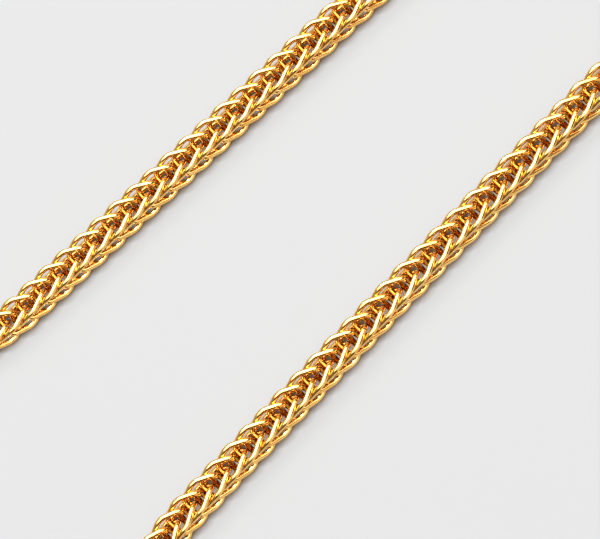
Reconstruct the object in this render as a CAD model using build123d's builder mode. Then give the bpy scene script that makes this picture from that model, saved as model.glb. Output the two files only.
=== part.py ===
# Franco chain necklace in gold, lying closed on a flat surface.
# The chain is woven of two sets of wire links in four columns. One set spans the upper left and
# lower right columns, the other is its mirror image half a pitch on and spans the other two.
# Every link passes through the next three links.
from math import sqrt
import os

from build123d import *

# wire and weave
wire = 0.70             # wire diameter
play = 0.24             # least gap between two wires in a straight stretch
weave_step = 4.574      # pitch of one column, for each mm of wire and play
pitch = weave_step * (wire + play)

# centreline of a link, as shares of the pitch: x along the chain, u and v towards two columns
end_corner = (0.895, 0.403, 0.218)
side_corner = (0.152, 0.735, 0.017)
end_bend = 0.320
side_bend = 0.588

# clasp: a plain barrel with a ring at each end
ring_wire = 0.9         # wire of the ring
ring_radius = 2.2       # to the middle of the ring's wire
ring_seat = 0.63        # ring wire from the middle of the last link, as a share of the pitch
neck_radius = 1.3       # barrel end where the ring is joined
shoulder = 1.8          # length of the barrel's rounded shoulder
barrel_gap = 0.05       # barrel above the surface

# quarter turn of the chain about its own axis, along the wide bend
turn_start = 0.29       # share of the chain's length where it begins
turn_end = 0.74         # and where it is complete
start_roll = 90.0
slack = 0.05            # the links hang this much further apart there

# way of the chain on the surface, from one clasp ring round to the other: x, y, bend radius
ROUTE = [
    (120.4, -13.6, 0),
    (106.4, -24.6, 35),
    (41.4, -24.6, 2500),
    (-35.7, -25.9, 59),
    (-72.8, -51.6, 43),
    (-120.2, -26.0, 43),
    (-119.0, 27.9, 43),
    (-70.4, 51.3, 43),
    (-34.5, 23.9, 59),
    (107.1, 15.0, 35),
    (120.4, 3.2, 0),
]

os.makedirs("parts", exist_ok=True)


def half_points(mirrored):
    # corners of the half above the chain's axis, turned so that a flat face of the chain looks up
    x1, u1, v1 = (pitch * share for share in end_corner)
    x2, u2, v2 = (pitch * share for share in side_corner)
    corners = [(x1, 0, 0), (x1, u1, v1), (x2, u2, v2), (-x2, u2, -v2), (-x1, u1, -v1), (-x1, 0, 0)]
    points = []
    for x, u, v in corners:
        if mirrored:
            u, v = v, u
        points.append((x, (u - v) / sqrt(2), (u + v) / sqrt(2)))
    return points


corner_bends = [pitch * share for share in (end_bend, side_bend, side_bend, end_bend)]

with BuildPart() as half_a:
    with BuildLine() as path_a:
        FilletPolyline(*half_points(False), radius=corner_bends)
    with BuildSketch(path_a.line ^ 0):
        Circle(wire / 2)
    sweep()

with BuildPart() as half_b:
    with BuildLine() as path_b:
        FilletPolyline(*half_points(True), radius=corner_bends)
    with BuildSketch(path_b.line ^ 0):
        Circle(wire / 2)
    sweep()

with BuildPart() as link_a:
    add(half_a.part)
    add(half_a.part.rotate(Axis.X, 180))

with BuildPart() as link_b:
    add(half_b.part)
    add(half_b.part.rotate(Axis.X, 180))

# way of the chain's axis
with BuildLine() as way:
    FilletPolyline(*[(x, y) for x, y, bend in ROUTE], radius=[bend for x, y, bend in ROUTE[1:-1]])
route = way.wires()[0]
lead = pitch * ring_seat + ring_radius
run = route.length - 2 * lead
mean_gap = 1 + slack * (turn_end - turn_start)
steps = round(run / (mean_gap * pitch / 2))


def rest_height(roll):
    # height of the axis with which the chain lies on the surface
    turned = [piece.part.rotate(Axis.X, roll) for piece in (link_a, link_b)]
    return max(-piece.bounding_box().min.Z for piece in turned)


def in_turn(along):
    # 0 before the quarter turn, 1 after it
    return min(1, max(0, (along - turn_start) / (turn_end - turn_start)))


gaps = [1 + slack * (0 < in_turn((index + 0.5) / steps) < 1) for index in range(steps)]
places = []
for index in range(steps + 1):
    roll = start_roll * (1 - in_turn(index / steps))
    share = (lead + run * sum(gaps[:index]) / sum(gaps)) / route.length
    foot = route @ share + Vector(0, 0, rest_height(roll))
    place = Plane(foot, x_dir=route % share, z_dir=(0, 0, 1))
    places.append(place.location * Location((0, 0, 0), (roll, 0, 0)))

# the links stay loose in one another, so they are gathered without being joined
link_parts = [link_a.part, link_b.part]
links = [link_parts[number % 2].moved(place) for number, place in enumerate(places)]
chain = Compound(label="chain", children=links)

# the clasp lies between the two ends of the route
ring_height = rest_height(0)
ring_start = route @ 0 + Vector(0, 0, ring_height)
ring_end = route @ 1 + Vector(0, 0, ring_height)
half_span = (ring_end - ring_start).length / 2
half_barrel = half_span - ring_radius
barrel_radius = ring_height - barrel_gap
clasp_plane = Plane((ring_start + ring_end) / 2, x_dir=ring_end - ring_start, z_dir=(0, 0, 1))

with BuildPart() as clasp:
    with BuildSketch(clasp_plane):
        with BuildLine():
            Polyline(
                (-half_barrel, 0),
                (-half_barrel, neck_radius),
                (shoulder - half_barrel, barrel_radius),
                (half_barrel - shoulder, barrel_radius),
                (half_barrel, neck_radius),
                (half_barrel, 0),
                close=True,
            )
        make_face()
    revolve(axis=Axis(clasp_plane.origin, clasp_plane.x_dir))
    with Locations(Plane(ring_start), Plane(ring_end)):
        Torus(ring_radius, ring_wire / 2)
clasp.part.label = "clasp"

export_step(chain, "parts/chain.step")
export_step(clasp.part, "parts/clasp.step")

print("links", steps + 1, "first step", round(run / sum(gaps), 3), "pitch", round(pitch, 3))
print("length of the chain", round(route.length, 1))
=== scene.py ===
import math

import bpy
from mathutils import Matrix, Vector


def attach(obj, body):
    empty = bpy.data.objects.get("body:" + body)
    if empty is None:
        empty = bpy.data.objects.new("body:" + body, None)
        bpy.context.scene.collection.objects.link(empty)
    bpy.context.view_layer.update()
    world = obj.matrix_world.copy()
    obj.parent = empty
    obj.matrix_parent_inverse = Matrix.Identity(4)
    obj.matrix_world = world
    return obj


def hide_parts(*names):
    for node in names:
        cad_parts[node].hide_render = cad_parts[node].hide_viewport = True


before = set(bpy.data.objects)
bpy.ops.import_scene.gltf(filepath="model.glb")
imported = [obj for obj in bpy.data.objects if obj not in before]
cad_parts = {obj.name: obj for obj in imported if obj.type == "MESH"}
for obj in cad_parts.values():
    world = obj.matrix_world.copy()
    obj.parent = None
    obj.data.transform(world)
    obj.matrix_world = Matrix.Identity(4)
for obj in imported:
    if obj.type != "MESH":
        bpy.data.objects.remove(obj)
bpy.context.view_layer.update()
mm = 0.001
print("frame loaded")


def addNode(tree, kind, values=None, **settings):
    made = tree.nodes.new(kind)
    for key, value in settings.items():
        setattr(made, key, value)
    for key, value in (values or {}).items():
        if isinstance(value, bpy.types.NodeSocket):
            tree.links.new(value, made.inputs[key])
        else:
            made.inputs[key].default_value = value
    return made


def mathNode(tree, operation, *values):
    node = addNode(tree, "ShaderNodeMath", dict(enumerate(values)), operation=operation)
    return node.outputs[0]


def vectorNode(tree, operation, *values):
    node = addNode(tree, "ShaderNodeVectorMath", dict(enumerate(values)), operation=operation)
    return node.outputs["Value" if operation in ("LENGTH", "DOT_PRODUCT") else "Vector"]


def mixColours(tree, share, first, second):
    node = addNode(tree, "ShaderNodeMix", {0: share, 6: first, 7: second}, data_type="RGBA")
    return node.outputs[2]


# polished gold
goldLook = {
    "colour": (0.97, 0.65, 0.27),
    "warmColour": (0.95, 0.58, 0.20),
    "smooth": 0.10,                # roughness of the polish
    "dull": 0.16,                  # and of its duller streaks
    "streakCount": 5.0,            # drawing lines round the wire
    "claspStreaks": 1800.0,        # streaks on the clasp, per metre
    "streakDetail": 4.0,
    "patchSize": 240.0,            # tint patches, per metre
    "patchDetail": 3.0,
    "spread": (0.35, 0.65),        # part of the noise that counts, for streaks and patches
    "lineDepth": 0.000002,
    "lineStrength": 0.6,
    # painted shade: the colour the wire takes in the chain's core, where less light reaches
    "coreShadeColour": (0.52, 0.29, 0.07),
    "coreShadeInner": 0.0008,           # metres from the chain's axis: full painted shade inside this, and no painted shade from here outwards
    "coreShadeOuter": 0.0024,           # and fully bright from here outwards
}


def wireStreaks(tree):
    # lines follow the wire: fine round it, long along it
    around = addNode(tree, "ShaderNodeAttribute", attribute_name="aroundWire").outputs["Vector"]
    along = addNode(tree, "ShaderNodeAttribute", attribute_name="alongLink").outputs["Vector"]
    count = goldLook["streakCount"]
    across = vectorNode(tree, "MULTIPLY", around, (count, count, 0.0))
    turned = addNode(tree, "ShaderNodeSeparateXYZ", {0: along}).outputs
    lift = addNode(tree, "ShaderNodeCombineXYZ", {"Z": turned["X"]}).outputs[0]
    place = vectorNode(tree, "ADD", across, lift)
    values = {"Vector": place, "W": turned["Y"], "Scale": 1.0, "Detail": goldLook["streakDetail"]}
    return addNode(tree, "ShaderNodeTexNoise", values, noise_dimensions="4D").outputs[0]


def claspStreaks(tree, where):
    scale, detail = goldLook["claspStreaks"], goldLook["streakDetail"]
    values = {"Vector": where, "Scale": scale, "Detail": detail}
    return addNode(tree, "ShaderNodeTexNoise", values).outputs[0]


def makeGold(name, onWire):
    low, high = goldLook["spread"]
    material = bpy.data.materials.new(name)
    material.use_nodes = True
    tree = material.node_tree
    shader = tree.nodes["Principled BSDF"]
    shader.inputs["Metallic"].default_value = 1.0
    where = addNode(tree, "ShaderNodeTexCoord").outputs["Object"]
    patches = addNode(
        tree, "ShaderNodeTexNoise",
        {"Vector": where, "Scale": goldLook["patchSize"], "Detail": goldLook["patchDetail"]},
    ).outputs[0]
    streaks = wireStreaks(tree) if onWire else claspStreaks(tree, where)
    warmth = addNode(tree, "ShaderNodeMapRange", {"Value": patches, 1: low, 2: high}).outputs[0]
    colour = mixColours(
        tree, warmth, (*goldLook["colour"], 1.0), (*goldLook["warmColour"], 1.0)
    )
    if onWire:
        # painted shade: the wire's colour darkens towards the chain's core, where less light
        # reaches
        depth = addNode(tree, "ShaderNodeAttribute", attribute_name="fromAxis").outputs["Fac"]
        bright = addNode(
            tree, "ShaderNodeMapRange",
            {"Value": depth, 1: goldLook["coreShadeInner"], 2: goldLook["coreShadeOuter"]},
            interpolation_type="SMOOTHSTEP",
        ).outputs[0]
        colour = mixColours(tree, bright, (*goldLook["coreShadeColour"], 1.0), colour)
    tree.links.new(colour, shader.inputs["Base Color"])
    dullness = addNode(
        tree, "ShaderNodeMapRange",
        {"Value": streaks, 1: low, 2: high, 3: goldLook["smooth"], 4: goldLook["dull"]},
    ).outputs[0]
    tree.links.new(dullness, shader.inputs["Roughness"])
    lines = addNode(
        tree, "ShaderNodeBump",
        {
            "Height": streaks, "Strength": goldLook["lineStrength"],
            "Distance": goldLook["lineDepth"],
        },
    ).outputs[0]
    tree.links.new(lines, shader.inputs["Normal"])
    return material


# chain
chain = {
    "way": [                       # how it lies, by corners: x, y and bend radius in mm
        (120.4, -13.6, 0),
        (106.4, -24.6, 35),
        (41.4, -24.6, 2500),
        (-35.7, -25.9, 59),
        (-72.8, -51.6, 43),
        (-120.2, -26.0, 43),
        (-119.0, 27.9, 43),
        (-70.4, 51.3, 43),
        (-34.5, 23.9, 59),
        (107.1, 15.0, 35),
        (120.4, 3.2, 0),
    ],
    "wire": 1.02,
    "pitch": 4.30,                 # one link to the next in a column
    "endCorner": (0.895, 0.403, 0.218),
    "sideCorner": (0.152, 0.735, 0.017),
    "endBend": 0.320,              # all four as shares of the pitch
    "sideBend": 0.588,
    "restBase": 0.0305,            # height of the chain's axis above a wire's radius,
    "restColumn": 0.7145,          # with the part that the roll adds, as shares of the pitch
    "lead": 4.909,                 # clasp ring's middle to the first link
    "steps": 244,
    "slack": 0.05,                 # the wide bend hangs a little looser
    "turnStart": 0.29,             # the quarter turn, as shares of the chain's length
    "turnEnd": 0.74,
    "wireSides": 12,
    "bendCuts": 7,
    "wayCuts": 24,
    "seed": 4,
    "looseAlong": 0.03,            # small chance differences from link to link
    "looseRoll": 1.2,
}


def linkCorners(mirrored):
    pitch = chain["pitch"]
    x1, u1, v1 = (pitch * share for share in chain["endCorner"])
    x2, u2, v2 = (pitch * share for share in chain["sideCorner"])
    first = [(x1, u1, v1), (x2, u2, v2), (-x2, u2, -v2), (-x1, u1, -v1)]
    second = [(x, -u, -v) for x, u, v in reversed(first)]
    corners = []
    for x, u, v in first + second:
        if mirrored:
            u, v = v, u
        corners.append((x * mm, (u - v) / math.sqrt(2) * mm, (u + v) / math.sqrt(2) * mm))
    return corners


def chainLines():
    # one mesh of plain edges: the way, then the two links' corners
    points = [(x * mm, y * mm, 0.0) for x, y, bend in chain["way"]]
    bends = [bend * mm for x, y, bend in chain["way"]]
    roles = [0] * len(points)
    edges = [(index, index + 1) for index in range(len(points) - 1)]
    oneLink = [chain["endBend"], chain["sideBend"], chain["sideBend"], chain["endBend"]] * 2
    corners = len(oneLink)
    for role in (1, 2):
        start = len(points)
        points += linkCorners(role == 2)
        bends += [share * chain["pitch"] * mm for share in oneLink]
        roles += [role] * corners
        edges += [(start + index, start + (index + 1) % corners) for index in range(corners)]
    mesh = bpy.data.meshes.new("chainLines")
    mesh.from_pydata(points, edges, [])
    mesh.attributes.new("bend", "FLOAT", "POINT").data.foreach_set("value", bends)
    mesh.attributes.new("role", "INT", "POINT").data.foreach_set("value", roles)
    return mesh


def chainTree(material):
    tree = bpy.data.node_groups.new("francoChain", "GeometryNodeTree")
    face = tree.interface
    face.new_socket("Geometry", in_out="INPUT", socket_type="NodeSocketGeometry")
    sockets = {}
    for name, kind in (
        ("Wire", "Float"), ("Wire Sides", "Int"), ("Bend Cuts", "Int"), ("Lead", "Float"),
        ("Steps", "Int"), ("Slack", "Float"), ("Turn Start", "Float"), ("Turn End", "Float"),
        ("First Link", "Int"), ("Last Link", "Int"), ("Loose Along", "Float"),
        ("Loose Roll", "Float"), ("Seed", "Int"), ("Pitch", "Float"),
    ):
        made = face.new_socket(name, in_out="INPUT", socket_type="NodeSocket" + kind)
        sockets[name] = made.identifier
    face.new_socket("Geometry", in_out="OUTPUT", socket_type="NodeSocketGeometry")
    given = tree.nodes.new("NodeGroupInput").outputs

    def calc(operation, *values):
        return mathNode(tree, operation, *values)

    def step(kind, values=None, **settings):
        return addNode(tree, kind, values, **settings).outputs[0]

    bend = step("GeometryNodeInputNamedAttribute", {"Name": "bend"}, data_type="FLOAT")
    role = step("GeometryNodeInputNamedAttribute", {"Name": "role"}, data_type="INT")

    def roundedLine(number, cuts):
        chosen = step(
            "FunctionNodeCompare", {2: role, 3: number}, data_type="INT", operation="EQUAL"
        )
        part = step("GeometryNodeSeparateGeometry", {0: given["Geometry"], 1: chosen})
        line = step("GeometryNodeMeshToCurve", {0: part})
        values = {"Curve": line, "Count": cuts, "Radius": bend, "Limit Radius": True}
        return step("GeometryNodeFilletCurve", values, mode="POLY")

    def stored(geometry, name, value, kind):
        values = {"Geometry": geometry, "Name": name, "Value": value}
        return step("GeometryNodeStoreNamedAttribute", values, data_type=kind, domain="POINT")

    def withCircle(geometry, name):
        # a place round the loop as cosine and sine, so that no seam shows
        share = addNode(tree, "GeometryNodeSplineParameter").outputs["Factor"]
        turn = calc("MULTIPLY", share, 2 * math.pi)
        pair = step("ShaderNodeCombineXYZ", {0: calc("COSINE", turn), 1: calc("SINE", turn)})
        return stored(geometry, name, pair, "FLOAT_VECTOR")

    radius = calc("MULTIPLY", given["Wire"], 0.5)
    ring = step(
        "GeometryNodeCurvePrimitiveCircle", {"Resolution": given["Wire Sides"], "Radius": radius}
    )
    ring = withCircle(ring, "aroundWire")
    kinds = tree.nodes.new("GeometryNodeJoinGeometry")
    for number in (2, 1):
        line = withCircle(roundedLine(number, given["Bend Cuts"]), "alongLink")
        tube = step("GeometryNodeCurveToMesh", {"Curve": line, "Profile Curve": ring})
        # how far each point lies from the chain's own axis, which sets the painted core shade
        place = step("GeometryNodeInputPosition")
        offAxis = vectorNode(tree, "MULTIPLY", place, (0.0, 1.0, 1.0))
        tube = stored(tube, "fromAxis", vectorNode(tree, "LENGTH", offAxis), "FLOAT")
        tree.links.new(step("GeometryNodeGeometryToInstance", {0: tube}), kinds.inputs[0])

    # places along the way; the links in the quarter turn stand a little further apart
    way = roundedLine(0, chain["wayCuts"])
    wayLength = step("GeometryNodeCurveLength", {0: way})
    stations = step("GeometryNodePoints", {"Count": calc("ADD", given["Steps"], 1.0)})
    number = step("GeometryNodeInputIndex")
    turnFrom = calc("MULTIPLY", given["Turn Start"], given["Steps"])
    turnShare = calc("SUBTRACT", given["Turn End"], given["Turn Start"])
    turnSteps = calc("MULTIPLY", turnShare, given["Steps"])
    inside = calc("MAXIMUM", calc("SUBTRACT", number, turnFrom), 0.0)
    inside = calc("MINIMUM", inside, turnSteps)
    passed = calc("ADD", number, calc("MULTIPLY", inside, given["Slack"]))
    whole = calc("ADD", given["Steps"], calc("MULTIPLY", turnSteps, given["Slack"]))
    run = calc("SUBTRACT", wayLength, calc("MULTIPLY", given["Lead"], 2.0))
    reach = calc("ADD", given["Lead"], calc("MULTIPLY", run, calc("DIVIDE", passed, whole)))

    # chance differences, outside the quarter turn only
    chance = step(
        "FunctionNodeRandomValue",
        {0: (-1.0, -1.0, -1.0), 1: (1.0, 1.0, 1.0), "Seed": given["Seed"]},
        data_type="FLOAT_VECTOR",
    )
    chances = addNode(tree, "ShaderNodeSeparateXYZ", {0: chance}).outputs
    between = calc("MULTIPLY", inside, calc("SUBTRACT", turnSteps, inside))
    turning = step(
        "FunctionNodeCompare", {0: between, 1: 0.0}, data_type="FLOAT", operation="GREATER_THAN"
    )
    straight = calc("SUBTRACT", 1.0, turning)
    shift = calc("MULTIPLY", calc("MULTIPLY", chances[0], given["Loose Along"]), straight)
    sway = calc("MULTIPLY", calc("MULTIPLY", chances[1], given["Loose Roll"]), straight)
    sample = addNode(
        tree, "GeometryNodeSampleCurve",
        {"Curves": way, "Length": calc("ADD", reach, shift)}, mode="LENGTH",
    ).outputs

    # roll about the chain's own axis, and the height at which it then rests
    left = calc("SUBTRACT", 1.0, calc("DIVIDE", inside, turnSteps))
    roll = calc("MULTIPLY", left, math.pi / 2)
    column = calc("COSINE", calc("SUBTRACT", math.pi / 4, roll))
    share = calc("MULTIPLY_ADD", column, chain["restColumn"], chain["restBase"])
    axisHeight = calc("ADD", calc("MULTIPLY", given["Pitch"], share), radius)
    lift = step("ShaderNodeCombineXYZ", {2: axisHeight})
    lifted = vectorNode(tree, "ADD", sample["Position"], lift)
    stations = step("GeometryNodeSetPosition", {"Geometry": stations, "Position": lifted})
    facing = step(
        "FunctionNodeAlignRotationToVector", {"Vector": sample["Tangent"]},
        axis="X", pivot_axis="Z",
    )
    rolled = step("ShaderNodeCombineXYZ", {0: calc("ADD", roll, sway)})
    turned = step("FunctionNodeEulerToRotation", {0: rolled})
    facing = step("FunctionNodeRotateRotation", {0: facing, 1: turned}, rotation_space="LOCAL")

    late = step(
        "FunctionNodeCompare", {2: number, 3: given["First Link"]},
        data_type="INT", operation="GREATER_EQUAL",
    )
    early = step(
        "FunctionNodeCompare", {2: number, 3: given["Last Link"]},
        data_type="INT", operation="LESS_EQUAL",
    )
    shown = step("FunctionNodeBooleanMath", {0: late, 1: early}, operation="AND")
    links = step(
        "GeometryNodeInstanceOnPoints",
        {
            "Points": stations, "Selection": shown, "Instance": kinds.outputs[0],
            "Pick Instance": True, "Instance Index": calc("MODULO", number, 2.0),
            "Rotation": facing,
        },
    )
    real = step("GeometryNodeRealizeInstances", {0: links})
    smooth = step("GeometryNodeSetShadeSmooth", {0: real})
    done = step("GeometryNodeSetMaterial", {"Geometry": smooth, "Material": material})
    tree.links.new(done, tree.nodes.new("NodeGroupOutput").inputs[0])
    return tree, sockets


def makeChain(name, tree, sockets, lines, firstLink, lastLink):
    piece = bpy.data.objects.new(name, lines)
    bpy.context.scene.collection.objects.link(piece)
    modifier = piece.modifiers.new("weave", "NODES")
    modifier.node_group = tree
    for label, value in (
        ("Wire", chain["wire"] * mm),
        ("Wire Sides", chain["wireSides"]),
        ("Bend Cuts", chain["bendCuts"]),
        ("Lead", chain["lead"] * mm),
        ("Steps", chain["steps"]),
        ("Slack", chain["slack"]),
        ("Turn Start", chain["turnStart"]),
        ("Turn End", chain["turnEnd"]),
        ("First Link", firstLink),
        ("Last Link", lastLink),
        ("Loose Along", chain["looseAlong"] * mm),
        ("Loose Roll", math.radians(chain["looseRoll"])),
        ("Seed", chain["seed"]),
        ("Pitch", chain["pitch"] * mm),
    ):
        modifier[sockets[label]] = value
    ready = piece.evaluated_get(bpy.context.evaluated_depsgraph_get())
    mesh = bpy.data.meshes.new_from_object(ready)
    piece.modifiers.remove(modifier)
    piece.data = mesh
    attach(piece, "root")
    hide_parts("chain")


wireGold = makeGold("polishedGoldWire", True)
claspGold = makeGold("polishedGold", False)
weave, weaveSockets = chainTree(wireGold)
weaveLines = chainLines()
middleLink = chain["steps"] // 2
makeChain("chainLinksFirst", weave, weaveSockets, weaveLines, 0, middleLink)
makeChain("chainLinksSecond", weave, weaveSockets, weaveLines, middleLink + 1, chain["steps"])
print("chain woven")

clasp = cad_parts["clasp"]
for slot in clasp.material_slots:
    slot.material = claspGold
print("clasp finished")


# floor
floorLook = {
    "colour": (0.075, 0.075, 0.075),
    "roughness": 0.75,
    "specular": 0.2,
    "glow": 0.437,
    "light": (1.0, 1.0, 1.0),
    "shade": 0.0015,               # metres above the floor within which the chain casts the painted shadow
    "paintedBounce": (0.62, 0.33, 0.11),  # painted light: a warm glow under the chain, standing for light reflected off the gold
    "size": 3.0,
}


def makeFloor():
    side = floorLook["size"] / 2
    corners = [(-side, -side, 0), (side, -side, 0), (side, side, 0), (-side, side, 0)]
    mesh = bpy.data.meshes.new("floor")
    mesh.from_pydata(corners, [], [(0, 1, 2, 3)])
    floor = bpy.data.objects.new("floor", mesh)
    bpy.context.scene.collection.objects.link(floor)
    material = bpy.data.materials.new("paleFloor")
    material.use_nodes = True
    tree = material.node_tree
    shader = tree.nodes["Principled BSDF"]
    shader.inputs["Roughness"].default_value = floorLook["roughness"]
    shader.inputs["Specular IOR Level"].default_value = floorLook["specular"]
    shader.inputs["Base Color"].default_value = (*floorLook["colour"], 1.0)
    # a glowing table, which keeps the shadows pale; a painted shadow dims its glow under the
    # chain, and painted warm light tints it there
    reach = {"Distance": floorLook["shade"]}
    paintedShadowMask = addNode(tree, "ShaderNodeAmbientOcclusion", reach).outputs["AO"]
    glow = mathNode(tree, "MULTIPLY", paintedShadowMask, floorLook["glow"])
    light = mixColours(tree, paintedShadowMask, (*floorLook["paintedBounce"], 1.0), (*floorLook["light"], 1.0))
    tree.links.new(light, shader.inputs["Emission Color"])
    tree.links.new(glow, shader.inputs["Emission Strength"])
    mesh.materials.append(material)


makeFloor()

# camera: its direction seen from the photo's middle, in the part's axes
view = {
    "towards": (0.1225, -0.3200, 0.9395),
    "strandAngle": 45.65,          # slope of the X axis in the photo, degrees
    "target": (23.9, -9.1, 2.6),
    "distance": 450.0,
    "across": 104.2,               # mm that the photo spans from side to side
    "sensor": 36.0,
    "reach": (0.01, 20.0),         # nearest and farthest that it sees, in metres
}


def makeCamera():
    back = Vector(view["towards"]).normalized()
    strand = (Vector((1, 0, 0)) - back * back.x).normalized()
    left = back.cross(strand)
    slope = math.radians(view["strandAngle"])
    right = strand * math.cos(slope) - left * math.sin(slope)
    up = strand * math.sin(slope) + left * math.cos(slope)
    data = bpy.data.cameras.new("camera")
    data.sensor_width = view["sensor"]
    data.lens = view["sensor"] * view["distance"] / view["across"]
    data.clip_start, data.clip_end = view["reach"]
    camera = bpy.data.objects.new("camera", data)
    bpy.context.scene.collection.objects.link(camera)
    place = Matrix((right, up, back)).transposed().to_4x4()
    place.translation = (Vector(view["target"]) + back * view["distance"]) * mm
    camera.matrix_world = place
    bpy.context.scene.camera = camera
    return right, up, back


photoRight, photoUp, photoBack = makeCamera()


def alongPhoto(shares):
    # counted along the photo's right, its up, and towards the camera
    return photoRight * shares[0] + photoUp * shares[1] + photoBack * shares[2]


# soft boxes: where each stands, its size in metres and its power
lamps = {
    "over": {"place": (-0.30, 0.30, 0.94), "size": (1.8, 1.8), "power": 20.5},
    "key": {"place": (-0.62, 0.50, 0.72), "size": (0.45, 0.45), "power": 7.0},
    "fill": {"place": (0.75, -0.60, 0.50), "size": (1.0, 1.0), "power": 2.0},
}


def makeLamp(name, place, size, power):
    data = bpy.data.lights.new(name, "AREA")
    data.shape = "RECTANGLE"
    data.size, data.size_y = size
    data.energy = power
    lamp = bpy.data.objects.new(name, data)
    bpy.context.scene.collection.objects.link(lamp)
    middle = Vector(view["target"]) * mm
    lamp.location = middle + alongPhoto(place)
    lamp.rotation_mode = "QUATERNION"
    lamp.rotation_quaternion = (middle - lamp.location).to_track_quat("-Z", "Y")


for lampName, lampValues in lamps.items():
    makeLamp(lampName, **lampValues)

# the surroundings: a pale tent, brighter on the key's side
tent = {
    "colour": (0.97, 0.98, 1.0),
    "bright": 0.44,
    "dim": 0.06,
    "brightSide": (-0.6, 0.5, 0.35),
    "spread": (-0.4, 0.9),         # cosines to that side where it is dim and where bright
}


def makeTent():
    world = bpy.data.worlds.new("studio")
    bpy.context.scene.world = world
    world.use_nodes = True
    tree = world.node_tree
    shine = tree.nodes["Background"]
    where = addNode(tree, "ShaderNodeTexCoord").outputs["Generated"]
    side = alongPhoto(tent["brightSide"]).normalized()
    facing = vectorNode(tree, "DOT_PRODUCT", where, tuple(side))
    dimAt, brightAt = tent["spread"]
    level = addNode(
        tree, "ShaderNodeMapRange",
        {"Value": facing, 1: dimAt, 2: brightAt, 3: tent["dim"], 4: tent["bright"]},
    )
    shine.inputs[0].default_value = (*tent["colour"], 1.0)
    tree.links.new(level.outputs[0], shine.inputs[1])


makeTent()
bpy.context.scene.view_settings.view_transform = "Standard"
bpy.context.scene.view_settings.look = "High Contrast"
print("floor, camera and light placed")
